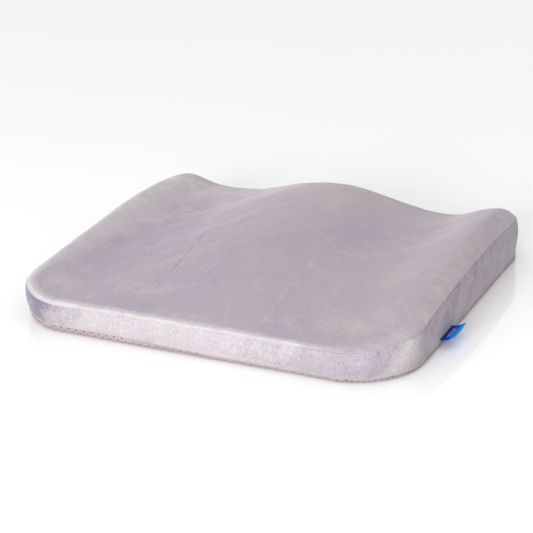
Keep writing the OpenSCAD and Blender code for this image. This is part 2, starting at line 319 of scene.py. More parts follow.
def show(name, data):
    """A new object in the scene."""
    item = bpy.data.objects.new(name, data)
    bpy.context.scene.collection.objects.link(item)
    return item


def face_out(mesh):
    """Turn the faces of a closed mesh outwards."""
    form = bmesh.new()
    form.from_mesh(mesh)
    bmesh.ops.recalc_face_normals(form, faces=form.faces)
    form.to_mesh(mesh)
    form.free()


def add(name, points, faces, body="cushion"):
    mesh = bpy.data.meshes.new(name)
    mesh.from_pydata((np.asarray(points) * MM).tolist(), [], faces)
    mesh.validate()
    piece = show(name, mesh)
    if body:
        face_out(mesh)
        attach(piece, body)
    mesh.shade_smooth()
    return piece


def mark(piece, name, values):
    """Keep one number per point, for the materials to read."""
    layer = piece.data.attributes.new(name, "FLOAT", "POINT")
    layer.data.foreach_set("value", np.asarray(values, np.float32).ravel())


def between(a, n, b, m):
    """Faces between a ring of n points from index a and a ring of m points from index b."""
    if n == 1:
        return [(a, b + j, b + (j + 1) % m) for j in range(m)]
    if m == 1:
        return [(a + j, b, a + (j + 1) % n) for j in range(n)]
    if n == m:
        return [(a + j, b + j, b + (j + 1) % n, a + (j + 1) % n) for j in range(n)]
    if m == 2 * n:
        return [face[::-1] for face in between(b, m, a, n)]
    faces = []
    for j in range(m):
        a0, a1, a2 = a + 2 * j, a + 2 * j + 1, a + (2 * j + 2) % n
        b0, b1 = b + j, b + (j + 1) % m
        faces += [(a0, b0, a1), (a1, b0, b1), (a1, b1, a2)]
    return faces


def skin(rings):
    """Points and faces of a surface through closed rings; each ring has as many points as the one
    before, half or twice as many, or a single one."""
    starts = np.cumsum([0] + [len(ring) for ring in rings])
    faces = []
    for i in range(len(rings) - 1):
        faces += between(int(starts[i]), len(rings[i]), int(starts[i + 1]), len(rings[i + 1]))
    return np.concatenate(rings), faces


def grid_of(x, y, z):
    """A grid of points from coordinates that change along its rows, down its columns or both."""
    return np.stack(np.broadcast_arrays(x, y, z), -1)


def slab(outer, inner):
    """A closed sheet between two grids of the same shape."""
    size = outer.shape[0] * outer.shape[1]
    near = np.arange(size).reshape(outer.shape[:2])
    far = near + size
    rim = np.concatenate([near[0, :-1], near[:-1, -1], near[-1, :0:-1], near[:0:-1, 0]])
    after = np.roll(rim, -1)
    quads = (
        (near[:-1, :-1], near[1:, :-1], near[1:, 1:], near[:-1, 1:]),
        (far[:-1, :-1], far[:-1, 1:], far[1:, 1:], far[1:, :-1]),
        (rim, after, after + size, rim + size),
    )
    faces = np.concatenate([np.stack(quad, -1).reshape(-1, 4) for quad in quads])
    return np.concatenate([outer.reshape(-1, 3), inner.reshape(-1, 3)]), faces.tolist()


def sweep(path, radius, up=(0.0, 0.0, 1.0)):
    """A round cord through path, which never runs along up; its radius may change on the way."""
    ahead = np.gradient(path, axis=0)
    ahead /= np.linalg.norm(ahead, axis=1)[:, None]
    u = np.cross(ahead, up)
    u /= np.linalg.norm(u, axis=1)[:, None]
    v = np.cross(u, ahead)
    turn = np.arange(CORD_SIDES) * 2 * np.pi / CORD_SIDES
    radius = np.broadcast_to(radius, len(path))[:, None, None]
    ring = np.cos(turn)[None, :, None] * u[:, None] + np.sin(turn)[None, :, None] * v[:, None]
    points, faces = skin(list(path[:, None] + radius * ring))
    last = len(points) - CORD_SIDES
    return points, faces + [tuple(range(CORD_SIDES)), tuple(range(last, len(points)))]


def many(parts):
    """One mesh from many (points, faces) whose faces count from 0."""
    points, faces, first = [], [], 0
    for p, f in parts:
        points.append(p)
        faces += [tuple(first + i for i in face) for face in f]
        first += len(p)
    return np.concatenate(points), faces


# ---- simulated cover


COLUMN_S = ROUND * np.arange(COLUMNS) / COLUMNS
COLUMN_P, COLUMN_N = outline(COLUMN_S)
REACH = (COLUMN_P * COLUMN_N).sum(1)  # distance from the middle to the line of each edge
CLOTH_FRAMES = 20
CLOTH_CAP = 2.4
LOOSE_HOLD = 0.35
SPARE_REACH = 0.10
SPARE_ON_BANDS = 0.8
CLOTH_SETTINGS = {
    "quality": 5,
    "mass": 0.2,
    "tension_stiffness": 12,
    "compression_stiffness": 12,
    "shear_stiffness": 4,
    "bending_stiffness": 0.02,
    "vertex_group_mass": "held",
    "pin_stiffness": 2,
    "vertex_group_shrink": "slack",
    "shrink_min": 0.0,
    "shrink_max": -0.035,
    "use_pressure": True,
    "uniform_pressure_force": 4,
}


def stride_at(share):
    return 1 if share > 0.5 else 2 if share > 0.25 else 4 if share > 0.12 else 8


def ring(share):
    """Points, normals, places along the outline and distances to the edge, of a ring inside it."""
    step = slice(None, None, stride_at(share))
    return COLUMN_P[step] * share, COLUMN_N[step], COLUMN_S[step], (1 - share) * REACH[step]


def cloth_rows():
    """(t, stride) of each row of the simulated cover: t is the share of the way out on the top
    panel, and 1 plus the share of the way down on the bands."""
    inner = [(t, 2 * stride_at(t)) for t in np.arange(0.04, 0.86, 0.024)]
    outer = [(t, 1) for t in np.linspace(0.87, 1, 11)]
    band = [(1 + v, 1) for v in np.linspace(0, 1, 14)[1:]]
    return inner + outer + band


def cloth_point(t, columns):
    points, normals = COLUMN_P[columns], COLUMN_N[columns]
    if t <= 1:
        return raised(points * t, top_at(points * t))
    z = top_at(points) + (RIM_R - top_at(points)) * (t - 1)
    return raised(points + normals * belly(points, normals, z)[:, None], z)


def add_cloth(piece, t):
    """Give the cover its Cloth modifier, from the value t of each of its points. The seams are
    held, the middle of the top is held loosely, and the fabric to spare is beside the seams."""
    from_seam = np.minimum(np.abs(t - 1), np.abs(2 - t))
    inside = np.where(t < 1, LOOSE_HOLD * np.clip((0.97 - t) / 0.2, 0, 1), 0.0)
    held = np.where(from_seam < 1e-6, 1.0, inside)
    spare = np.where(t <= 1, np.clip(1 - (1 - t) / SPARE_REACH, 0, 1), SPARE_ON_BANDS)
    for name, weights in (("held", held), ("slack", spare)):
        group = piece.vertex_groups.new(name=name)
        for i, weight in enumerate(weights):
            group.add([i], float(weight), "REPLACE")
    cloth = piece.modifiers.new("Cloth", "CLOTH")
    for name, value in CLOTH_SETTINGS.items():
        setattr(cloth.settings, name, value)
    cloth.settings.effector_weights.gravity = 0
    cloth.point_cache.frame_start = 1
    cloth.point_cache.frame_end = CLOTH_FRAMES


def run_cloth():
    """Displacement of every cloth row at every column: the cover is sewn with some fabric to
    spare along its seams, and the foam pushes it out."""
    plan = cloth_rows()
    rows = [cloth_point(t, np.arange(0, COLUMNS, stride)) for t, stride in plan]
    start, faces = skin([tip(top_z(0.0, 0.0))] + rows)
    start = start + np.random.default_rng(11).normal(scale=0.06, size=start.shape)
    piece = add("cover_cloth", start, faces, body=None)
    add_cloth(piece, np.concatenate([[0.0]] + [np.full(len(row), t) for (t, _), row in zip(plan, rows)]))
    scene = bpy.context.scene
    for number in range(1, CLOTH_FRAMES + 1):
        scene.frame_set(number)
    shown = piece.evaluated_get(bpy.context.evaluated_depsgraph_get())
    end = np.zeros(len(start) * 3)
    shown.data.vertices.foreach_get("co", end)
    bpy.data.objects.remove(piece)
    scene.frame_set(1)
    moved = end.reshape(-1, 3) / MM - start
    size = np.linalg.norm(moved, axis=1)[:, None]
    moved *= CLOTH_CAP * np.tanh(size / CLOTH_CAP) / np.maximum(size, 1e-9)
    field, first = [], 1
    for (_, stride), row in zip(plan, rows):
        field.append(round_fit(moved[first:first + len(row)], np.arange(COLUMNS) / stride))
        first += len(row)
    return np.array([t for t, _ in plan]), np.array(field)


AROUND = (-1, 0, 1, 2)


def curve(a, b, c, d, f):
    """Catmull-Rom curve through four values, at the share f of the way from b to c."""
    return b + 0.5 * f * (c - a + f * (2 * a - 5 * b + 4 * c - d + f * (3 * (b - c) + d - a)))


def round_fit(values, at):
    """Curve through a closed ring of values, at fractional places."""
    i = np.floor(at).astype(int)
    return curve(*(values[(i + k) % len(values)] for k in AROUND), (at - i)[:, None])


def cover():
    return run_cloth()


COVER_T, COVER_PUSH = cover()


def push_at(t, s):
    """The simulated displacement at any t and distance along the outline."""
    shape = np.broadcast(t, s).shape
    u = np.interp(t, COVER_T, np.arange(len(COVER_T))) * np.ones(shape)
    i = np.minimum(np.floor(u).astype(int), len(COVER_T) - 2)
    column = (np.asarray(s) * np.ones(shape) / ROUND * COLUMNS) % COLUMNS
    j = np.floor(column).astype(int)

    def row(k):
        near = (COVER_PUSH[np.clip(k, 0, len(COVER_T) - 1), (j + m) % COLUMNS] for m in AROUND)
        return curve(*near, (column - j)[..., None])

    return curve(*(row(i + k) for k in AROUND), (u - i)[..., None])


# ---- cover panels


def pucker(points, distance, size=0.17, reach=6.5):
    """Small gathers that stand across a seam and die away from it."""
    gathers = ripple(points, 8.5, 21) * (0.6 + 0.4 * ripple(points, 70, 22, 5))
    return size * gathers * np.exp(-distance / reach)


# Soft creases across the top: (start, end, depth, half width), a welt where the depth is below 0
CREASES = [
    ((-80, 2), (-66, -168), 0.8, 1.5),
    ((-21, -76), (-34, -166), -0.6, 1.4),
    ((64, 10), (74, -212), -1.0, 1.4),
    ((78, -20), (120, -12), -0.5, 2.0),
    ((-99, -156), (-70, -90), 0.3, 2.4),
    ((118, -128), (152, -36), 0.4, 2.2),
    ((-150, 10), (-126, 96), 0.5, 2.4),
    ((96, 40), (70, 130), 0.4, 2.4),
]
# Painted shade in the creases and painted highlight along the welts: how much the crease depths darken or
# lighten the pile's colour
CREASE_SHADE = 0.75
ROLLING_W = 25


def creases(points):
    total = np.zeros(len(points))
    for start, end, depth, half in CREASES:
        start, end = np.array(start, float), np.array(end, float)
        along = end - start
        length = np.linalg.norm(along)
        along /= length
        u = (points - start) @ along
        side = (points - start) @ np.array([-along[1], along[0]])
        side = side + 1.2 * np.sin(u / length * np.pi * 1.7 + depth * 9)
        fade = np.sin(np.pi * np.clip(u / length, 0, 1)) ** 0.7
        total -= depth * fade * np.exp(-(side / half) ** 2)
    return total


def top_detail(points, normals, distance):
    """Height that the fabric adds to the smooth top surface."""
    inside = np.clip(distance / ROLLING_W, 0, 1)
    rolling = 0.45 * ripple(points, 95, 31) + 0.16 * ripple(points, 34, 32)
    soft = SOFT_EDGE * soft_share(points, normals) * edge_roll(distance, SOFT_EDGE_W)
    return inside * rolling + creases(points) + pucker(points, distance) - soft


# Patches where the top is painted lighter or darker, partly brushed pile and partly painted light and
# shade: (x, y, reach along x, reach along y, how it lies), 1 where the pile is painted as brushed
# towards the light and -1 where it is painted as brushed away from it
NAP_AND_PAINTED_LIGHT_MARKS = [
    (-174, -170, 26, 14, 0.45),
    (-75, -160, 34, 17, 0.50),
    (0, -202, 18, 6, 0.70),
    # painted shade in the left hollow
    (-120, -72, 56, 44, -0.24),
    (166, -56, 22, 24, 0.35),
    (121, -16, 40, 12, 0.25),
    # these two: painted sheen along the left crest, where the light grazes it
    (-195, 30, 36, 130, 0.95),
    (-165, 150, 60, 60, 1.05),
    # painted sheen along the rear
    (0, 170, 130, 40, 0.30),
    (160, -165, 60, 34, 0.45),
]
# Painted light and shade on the bands: (distance from the middle of the thin edge, how the pile lies).
# The thin edge, facing the light, is painted lit; round the left front corner is a wedge of painted
# shade, round the right front corner a darker patch and then a painted highlight, and the sides are
# painted darker.
BAND_NAP_AND_PAINTED_LIGHT = [
    (-300, -0.2), (-255, -1.0), (-180, -1.0), (-160, -0.1), (-124, 1.0), (50, 1.0), (95, 0.55),
    (150, 0.0), (180, -0.1), (200, -0.2), (211, 0.3), (222, 1.35), (236, 1.35), (262, -0.25), (300, -0.35),
]
# How far the painted patches on a band lean along it with height, which makes the painted shade at the
# left front corner a wedge
BAND_LEAN = 0.7
# How bright a highlight is painted along the lit edge of the top, and how wide: (distances from the
# middle of the thin edge, brightness), (distances, widths)
EDGE_LIT = ((-262, -235, 110, 175), (0.60, 1.9, 1.9, 0.6))
EDGE_LIT_W = ((-262, -235, 150, 220), (34.0, 10.0, 5.5, 18.0))


def from_front(s):
    """Distance along the outline from the middle of the thin edge, below 0 on the left."""
    return (s + ROUND / 2) % ROUND - ROUND / 2


def top_nap_and_painted_light(flat, s, distance):
    """How the pile of the top panel lies, with a painted highlight along the lit front edge, painted sheen
    and shade in patches, painted shade in the creases and a painted highlight on the welts.
    """
    t = from_front(s)
    nap_and_painted_light = np.interp(t, *EDGE_LIT) * np.clip(1.3 - distance / np.interp(t, *EDGE_LIT_W), 0, 1)
    for x, y, reach_x, reach_y, lie_and_painted_light in NAP_AND_PAINTED_LIGHT_MARKS:
        gap = ((flat[:, 0] - x) / reach_x) ** 2 + ((flat[:, 1] - y) / reach_y) ** 2
        nap_and_painted_light = nap_and_painted_light + lie_and_painted_light * np.exp(-gap)
    return nap_and_painted_light + CREASE_SHADE * creases(flat)


# How the pile of a band lies at each place and height, with the painted light and shade of the bands
def band_nap_and_painted_light(s, z):
    t = from_front(s) - BAND_LEAN * (np.clip(z, RIM_R, FRONT_H) - 20)
    return np.interp(t, *np.transpose(BAND_NAP_AND_PAINTED_LIGHT))


def panel_rings():
    shares = list(np.arange(0.03, 0.87, 0.0132))
    for gap in (26, 23.4, 21, 18.8, 16.7, 14.7, 12.8, 11, 9.3, 7.8, 6.4, 5.2, 4.1, 3.1, 2.3, 1.6):
        shares.append(1 - gap / HALF_D)
    return shares


def top_panel():
    """The panel's outer face from the middle outwards, its turned edge, and its inner face."""
    middle = top_z(0.0, 0.0) + push_at(0.0, 0.0)[2]
    rows, naps_and_painted_light = [tip(middle)], [np.zeros(1)]
    for share in panel_rings():
        flat, normals, s, distance = ring(share)
        rows.append(raised(flat, top_at(flat) + top_detail(flat, normals, distance)) + push_at(share, s))
        naps_and_painted_light.append(top_nap_and_painted_light(flat, s, distance))
    depth = seam_depth(COLUMN_P, COLUMN_N)
    for a in np.radians((0, 22, 45, 67, 90, 113, 136, 158, 180)):
        inset = (depth if a < 1.6 else np.maximum(depth, TURN_IN)) * (1 - math.sin(a))
        drop = SEAM_DROP / 2 * (1 - math.cos(a))
        flat = COLUMN_P - COLUMN_N * inset[:, None]
        detail = top_detail(flat, COLUMN_N, inset) * (1 - 0.6 * drop / SEAM_DROP)
        rows.append(raised(flat, top_at(flat) + detail - drop))
        naps_and_painted_light.append(top_nap_and_painted_light(flat, COLUMN_S, inset))
    for share in (0.985, 0.96, 0.9, 0.8, 0.68, 0.52, 0.4, 0.27, 0.18, 0.1, 0.04):
        flat, normals, _, distance = ring(share)
        soft = SOFT_EDGE * soft_share(flat / share, normals) * edge_roll(distance, SOFT_UNDER_W)
        rows.append(raised(flat, top_at(flat) - FABRIC_T - soft))
        naps_and_painted_light.append(np.zeros(len(flat)))
    rows.append(tip(middle - FABRIC_T))
    naps_and_painted_light.append(np.zeros(1))
    piece = add("velour_top", *skin(rows))
    # The kept values are the pile's brushing together with painted highlight, sheen and shade
    mark(piece, "nap_and_painted_light", np.concatenate(naps_and_painted_light))
    return piece


TAPE_LOW, TAPE_HIGH = size_of("zip_tape_upper")
ZIP_Z = (size_of("zip_tape_lower")[0][2] + TAPE_HIGH[2]) / 2
ZIP_HALF = size_of("zip_topstitch")[1][0]
ZIP_GAP = 4.6
ZIP_EASE = 12
TOPSTITCH = 2.5


def zip_edge(side):
    """The edge of a rear band beside the zip, which closes beyond the zip's ends."""
    def height(flat, normals):
        past = np.clip((np.abs(flat[:, 0]) - ZIP_HALF) / ZIP_EASE, 0, 1)
        return ZIP_Z + side * ZIP_GAP * (1 + np.cos(np.pi * past)) / 2
    return height


SEAM_ROWS = (0, 0.12, 0.35, 0.7, 1.15, 1.7, 2.5, 3.6)
CLOTH_FADE = 8
JOIN_TUCK = 0.8
GROOVE_IN = 0.3
GROOVE_W = 0.8


def band_heights(z_top, z_bottom, middle_rows):
    """Heights of a band's rows: close together beside each seam and even in between."""
    near = np.array(SEAM_ROWS)
    share = np.linspace(0, 1, middle_rows + 2)[1:-1]
    between_seams = [z_top - near[-1] - (z_top - z_bottom - 2 * near[-1]) * v for v in share]
    return np.array([z_top - d for d in near] + between_seams + [z_bottom + d for d in near[::-1]])


def band(name, ends, step, low_edge, high_edge, middle_rows, soft, zip_side):
    """A side band, turned in at its ends, and drawn in by the topstitching beside the zip."""
    s = spread(*ends, step)
    flat, normals = outline(s)
    z_bottom, z_top = low_edge(flat, normals), high_edge(flat, normals)
    z = band_heights(z_top, z_bottom, middle_rows)
    share = np.clip((top_at(flat) - z) / (top_at(flat) - RIM_R), 0, 1)
    where = np.concatenate([np.tile(flat, (len(z), 1, 1)), z[..., None]], -1)
    seams = np.minimum(z_top - z, z - z_bottom)
    crinkle = 0.16 * ripple(where * [1, 1, 0.45], 11, 41) + 0.30 * ripple(where, 36, 42)
    out = belly(flat, normals, z) + soft * crinkle * np.clip(seams / 6, 0, 1)
    out += pucker(where, seams, 0.2, 5)
    out -= tuck(z_top - z, np.maximum(seam_depth(flat, normals), 0.12)) + tuck(z - z_bottom)
    for end in ends:
        out -= JOIN_TUCK * tuck(2.0 * np.abs(s - end))
    if zip_side:
        groove = zip_edge(zip_side)(flat, normals) + zip_side * TOPSTITCH
        out -= GROOVE_IN * np.exp(-((z - groove) / GROOVE_W) ** 2)
    push = push_at(1 + share, s[None])
    grid = where + push * np.clip(seams / CLOTH_FADE, 0, 1)[..., None]
    grid[..., :2] += normals[None] * out[..., None]
    turned = np.maximum(FABRIC_T, tuck(z_top - z) + 0.7)
    inner = grid.copy()
    inner[..., :2] -= normals[None] * turned[..., None]
    piece = add(name, *slab(grid, inner))
    # The kept values are the pile's lying together with painted light and shade
    nap_and_painted_light = band_nap_and_painted_light(s[None], z)
    mark(piece, "nap_and_painted_light", np.concatenate([nap_and_painted_light, nap_and_painted_light]))
    return piece


def spread(first, last, step):
    """Distances from first to last, closer together at both ends."""
    near = np.array((0, 0.25, 0.6, 1.1, 1.8))
    count = max(2, int(round((last - first - 2 * near[-1]) / step)))
    middle = np.linspace(first + near[-1], last - near[-1], count)
    return np.concatenate([first + near[:-1], middle, last - near[:-1][::-1]])


REAR_ENDS = (JOIN_S, ROUND - JOIN_S)
# Bands: (piece, ends along the outline, step, bottom edge, top edge, rows between the seams, share
# of the crinkle, side of the zip it is on)
BANDS = (
    ("velour_band_right", (0.0, JOIN_S), 2.3, rim_top, top_seam, 16, 1.0, 0),
    ("velour_band_left", (ROUND - JOIN_S, ROUND), 2.3, rim_top, top_seam, 16, 1.0, 0),
    ("velour_band_rear_upper", REAR_ENDS, 2.6, zip_edge(1), top_seam, 12, 0.7, 1),
    ("velour_band_rear_lower", REAR_ENDS, 2.6, rim_top, zip_edge(-1), 2, 0.4, -1),
)


PANEL_LIFT = 0.35
RIM_POWER = 2.8


def rim_curve():
    """Run of fabric round the rolled rim, and how far out and up it has come, as shares."""
    a = np.linspace(0, np.pi / 2, 400)
    out, up = np.sin(a) ** (2 / RIM_POWER), 1 - np.cos(a) ** (2 / RIM_POWER)
    steps = np.hypot(np.diff(out), np.diff(up))
    return RIM_R * np.concatenate([[0], np.cumsum(steps)]), out, up


RIM_ARC, RIM_OUT, RIM_UP = rim_curve()
RIM_RUN = RIM_ARC[-1]
RIM_WIDTH = RIM_R + (CORNER_UNDER + CORNER_RIM) * under_share(COLUMN_N)
HELD = held_share(COLUMN_P, COLUMN_N)
RIM_WIDTH += HELD_RIM * HELD * np.maximum(0, -COLUMN_N[:, 1]) ** 2
RIM_TOP = rim_top(COLUMN_P, COLUMN_N)
RIM_WAVE = 0.35 * ripple(COLUMN_P, 60, 51) + 0.16 * ripple(COLUMN_P, 13, 52)
FLAT_EDGE = COLUMN_P - COLUMN_N * RIM_WIDTH[:, None]


def rim_point(run, columns=slice(None), edge=None):
    """Points of the rolled rim at a run of fabric beyond the edge of the flat part."""
    normals = COLUMN_N[columns]
    out = (RIM_WIDTH[columns] - CORNER_UNDER * under_share(normals)) * np.interp(run, RIM_ARC, RIM_OUT)
    out = out + RIM_WAVE[columns] * math.sin(math.pi * run / RIM_RUN) - tuck(RIM_RUN - run)
    z = PANEL_LIFT + (RIM_TOP[columns] - PANEL_LIFT) * np.interp(run, RIM_ARC, RIM_UP)
    edge = FLAT_EDGE[columns] if edge is None else edge
    return raised(edge + normals * out[:, None], z)


def bottom_panel():
    outer, inner = [tip(PANEL_LIFT)], [tip(PANEL_LIFT + FABRIC_T)]
    for share in (0.06, 0.12, 0.2, 0.27, 0.34, 0.42, 0.5, 0.58, 0.66, 0.74, 0.82, 0.89, 0.95, 0.98):
        flat = FLAT_EDGE[::stride_at(share)] * share
        outer.append(raised(flat, PANEL_LIFT + 0.12 * ripple(flat, 60, 53) * min(1, 3 * (1 - share))))
        inner.append(raised(flat, PANEL_LIFT + FABRIC_T))
    for run in (*np.linspace(0, RIM_RUN - 1.7, 14), *(RIM_RUN - np.array([1.2, 0.75, 0.4, 0.15, 0]))):
        share = run / RIM_RUN
        outer.append(rim_point(run))
        inner.append(outer[-1].copy())
        inner[-1][:, :2] -= COLUMN_N * (FABRIC_T * max(share, 0.05))
        inner[-1][:, 2] += FABRIC_T * (1 - share) ** 0.7
    return add("grip_underside", *skin(inner + outer[::-1]))


DOT_PITCH = 9.2
DOT_ROWS = 3.1
DOT_START = 0.4
DOT_R = 1.0
DOT_ROOT = 0.15
DOT_MARGIN = 1.2
HELD_MARGIN = 0.7
# A dot's sides, its rings from the root up as (share of its radius, height), and its height
DOT_SEEN = (8, ((1.0, -DOT_ROOT), (0.9, 0.18), (0.5, 0.30)), 0.33)
DOT_HIDDEN = (6, ((1.0, -DOT_ROOT), (0.7, 0.26)), 0.33)


def dot(centre, normal, ahead, form):
    sides, rings, height = form
    turn = np.arange(sides) * 2 * np.pi / sides
    around = np.cos(turn)[:, None] * ahead + np.sin(turn)[:, None] * np.cross(normal, ahead)
    rows = [centre + DOT_R * r * around + normal * h for r, h in rings]
    points, faces = skin(rows + [(centre + normal * height)[None]])
    return points, faces + [tuple(range(sides))[::-1]]


def dot_at(x, y):
    """A dot on the flat part or the rolled rim, and nothing where the rim's seam is too near."""
    offset = FLAT_EDGE - [x, y]
    nearest = int(np.argmin((offset**2).sum(1)))
    normal = COLUMN_N[nearest]
    run = -float(offset[nearest] @ normal)
    if run > RIM_RUN - DOT_MARGIN - HELD_MARGIN * HELD[nearest]:
        return []
    if run <= 0:
        centre, down, ahead = np.array([(x, y, PANEL_LIFT), (0, 0, -1), (1, 0, 0)])
        return [dot(centre, down, ahead, DOT_HIDDEN)]
    foot = np.array([[x, y]]) - normal * run
    one = slice(nearest, nearest + 1)
    before, centre, after = (rim_point(run + d, one, foot)[0] for d in (-0.3, 0, 0.3))
    ahead = np.array([-normal[1], normal[0], 0])
    out = np.cross(ahead, after - before)
    return [dot(centre, out / np.linalg.norm(out), ahead, DOT_SEEN)]


def grip_dots():
    """Raised dots in staggered rows, on the flat part and up the rolled rim."""
    dots = []
    count_x, count_y = int(HALF_W / DOT_PITCH) + 3, int(HALF_D / DOT_ROWS) + 3
    for row in range(-count_y, count_y + 1):
        for step in range(-count_x, count_x + 1):
            dots += dot_at(DOT_PITCH * (step + 0.5 * (row % 2)), DOT_ROWS * row + DOT_START)
    return add("grip_dots", *many(dots))


def foam_core():
    flat, normals = COLUMN_P[::3], COLUMN_N[::3]
    inset = FOAM_INSET + FOAM_REAR_EXTRA * np.maximum(0, normals[:, 1]) ** 2
    edge = flat - normals * inset[:, None]
    top = top_at(edge) - FOAM_INSET
    low = PANEL_LIFT + FABRIC_T + 0.05
    rows = [tip(low)] + [raised(edge * share, low) for share in (0.1, 0.3, 0.55, 0.8, 0.93)]
    for a in np.radians(np.linspace(0, 90, 7)):
        under = under_share(normals) * (CORNER_UNDER + CORNER_RIM * (1 - math.sin(a)))
        out = (RIM_R - inset) * (1 - math.sin(a)) + under
        rows.append(raised(edge - normals * out[:, None], RIM_R - (RIM_R - low) * math.cos(a)))
    for share in np.linspace(0.12, 1, 9):
        z = RIM_R + (top - FOAM_EDGE_R - RIM_R) * share
        rows.append(raised(edge + normals * belly(flat, normals, z)[:, None], z))
    for a in np.radians((30, 60, 90)):
        inward = FOAM_EDGE_R * (1 - math.cos(a))
        rows.append(raised(edge - normals * inward, top - FOAM_EDGE_R * (1 - math.sin(a))))
    for share in np.linspace(0.96, 0.08, 34):
        rows.append(raised(edge * share, top_at(edge * share) - FOAM_INSET))
    return add("moulded_foam", *skin(rows + [tip(top_z(0.0, 0.0) - FOAM_INSET)]))


# ---- threads, zip and labels


def stitched(run):
    """How far under the fabric a thread is at each distance along it, as a share."""
    return np.abs(2 * (run / STITCH_PITCH % 1) - 1) ** 4


def seam_thread(name, place, first, last, up=(0.0, 0.0, 1.0)):
    steps = np.arange(first, last, STITCH_PITCH / 6)
    return add(name, *sweep(place(steps, stitched(steps - first)), STITCH_R, up))


def top_seam_place(s, under):
    flat, normals = outline(s)
    z = top_seam(flat, normals) + 0.2 * np.sin(2 * np.pi * s / STITCH_PITCH)
    inset = 0.7 * seam_depth(flat, normals) + 1.2 * soft_share(flat, normals) + STITCH_UNDER * under
    return raised(flat - normals * inset[:, None], z)


def bottom_seam_place(s, under):
    flat, normals = outline(s)
    inset = STITCH_IN + STITCH_UNDER * under + CORNER_UNDER * under_share(normals)
    return raised(flat - normals * inset[:, None], rim_top(flat, normals))


def join_thread(name, s_join):
    """Thread of an upright join, from just above the rim to just below the top seam."""
    here = outline(np.array([s_join]))
    flat, normals = (a[0] for a in here)

    def place(z, under):
        out = belly(flat, normals, z) - STITCH_IN - STITCH_UNDER * under
        return raised(flat + normals * out[:, None], z)

    z_start, z_end = float(rim_top(*here)[0]) + 1.0, float(top_seam(*here)[0]) - 1.0
    return seam_thread(name, place, z_start, z_end, (1.0, 0.0, 0.0))


def zip_topstitch():
    x = np.arange(-ZIP_HALF, ZIP_HALF, STITCH_PITCH / 6)
    flat = np.column_stack([x, HALF_D - 0.12 - 0.9 * stitched(x + ZIP_HALF)])
    rows = [sweep(raised(flat, ZIP_Z + side * (ZIP_GAP + TOPSTITCH)), STITCH_R) for side in (-1, 1)]
    return add("zip_topstitching", *many(rows))


def threads():
    """Every thread, with the CAD node that it replaces; the node of the rear joins has two."""
    return [
        (seam_thread("top_seam_stitches", top_seam_place, 0, ROUND), "top_seam_thread"),
        (seam_thread("bottom_seam_stitches", bottom_seam_place, 0, ROUND), "bottom_seam_thread"),
        (join_thread("front_join_stitches", 0.0), "front_join_thread"),
        (join_thread("rear_join_stitches_right", JOIN_S), "rear_join_threads"),
        (join_thread("rear_join_stitches_left", ROUND - JOIN_S),),
        (zip_topstitch(), "zip_topstitch"),
    ]


COIL_LOW, COIL_HIGH = size_of("zip_coil_upper")
TAPE_TAIL = 9
COIL_PITCH = 1.3
COIL_WIRE = 0.30
COIL_REACH = 0.42
COIL_TURN_STEPS = 14
ZIP_SIDES = (("upper", 1), ("lower", -1))


def zip_tape(name, side):
    """Woven tape with a corded edge beside the coil, meeting the other tape beyond the stops."""
    across = np.array((0, 0.25, 0.55, 0.9, 1.3, 1.9, 3.1, 4.3, 5.5, 6.7, 7.9, TAPE_HIGH[2] - TAPE_LOW[2]))
    across = across[:, None]
    x = np.linspace(TAPE_LOW[0] - TAPE_TAIL, TAPE_HIGH[0] + TAPE_TAIL, 242)
    slot = (TAPE_LOW[2] - ZIP_Z) * (1 - 0.97 * np.clip((np.abs(x) - ZIP_HALF) / 3, 0, 1))
    z = ZIP_Z + side * (slot + across)
    bead = 0.22 * np.exp(-((across - 0.55) / 0.5) ** 2)
    wave = 0.08 * np.sin(x / 9.0) * np.clip(across / 4, 0, 1)
    face, back = TAPE_HIGH[1] - 0.25 + bead + wave, TAPE_LOW[1] + 0.1 + wave
    return add(name, *slab(grid_of(x, face, z), grid_of(x, back, z)))


def squared(v):
    """Turns a circle's sine or cosine into that of a rounder square."""
    return np.sign(v) * np.abs(v) ** 0.75


def zip_coil(name, side):
    """A flattened helix of nylon wire; the two sides are half a turn apart, so that they mesh."""
    turns = int((COIL_HIGH[0] - COIL_LOW[0]) / COIL_PITCH) - 1
    a = np.arange(turns * COIL_TURN_STEPS) * 2 * np.pi / COIL_TURN_STEPS
    shift = 0.0 if side > 0 else 0.5
    x = COIL_LOW[0] + COIL_PITCH * (0.6 + shift) + COIL_PITCH * a / (2 * np.pi)
    root = COIL_HIGH[2] - ZIP_Z
    middle, half = (root - COIL_REACH) / 2, (root + COIL_REACH) / 2
    low, high = COIL_LOW[1] + COIL_WIRE, COIL_HIGH[1] - COIL_WIRE
    z = ZIP_Z + side * (middle + (half - COIL_WIRE) * squared(np.cos(a)))
    y = (low + high) / 2 + (high - low) / 2 * squared(np.sin(a))
    thick = COIL_WIRE * (1 + 0.35 * np.clip(-np.cos(a), 0, 1) ** 4)
    return add(name, *sweep(np.column_stack([x, y, z]), thick, (1.0, 0.2, 0.0)))


TAG_LOW, TAG_HIGH = size_of("side_tag")
TAG_ROOT_X = TAG_LOW[0]
TAG_W = TAG_HIGH[1] - TAG_LOW[1]
TAG_OUT = 14.0
TAG_LIFT = 4.5
TAG_Z = 9.0
TAG_CURL_R = (TAG_OUT**2 + TAG_LIFT**2) / (2 * TAG_LIFT)
TAG_RUN = TAG_CURL_R * math.asin(TAG_OUT / TAG_CURL_R) - 0.9
TAG_INSIDE = 1.8
RIBBON_T = 0.42
RIBBON_GAP = 0.33
LABEL_LOW, LABEL_HIGH = size_of("care_label")


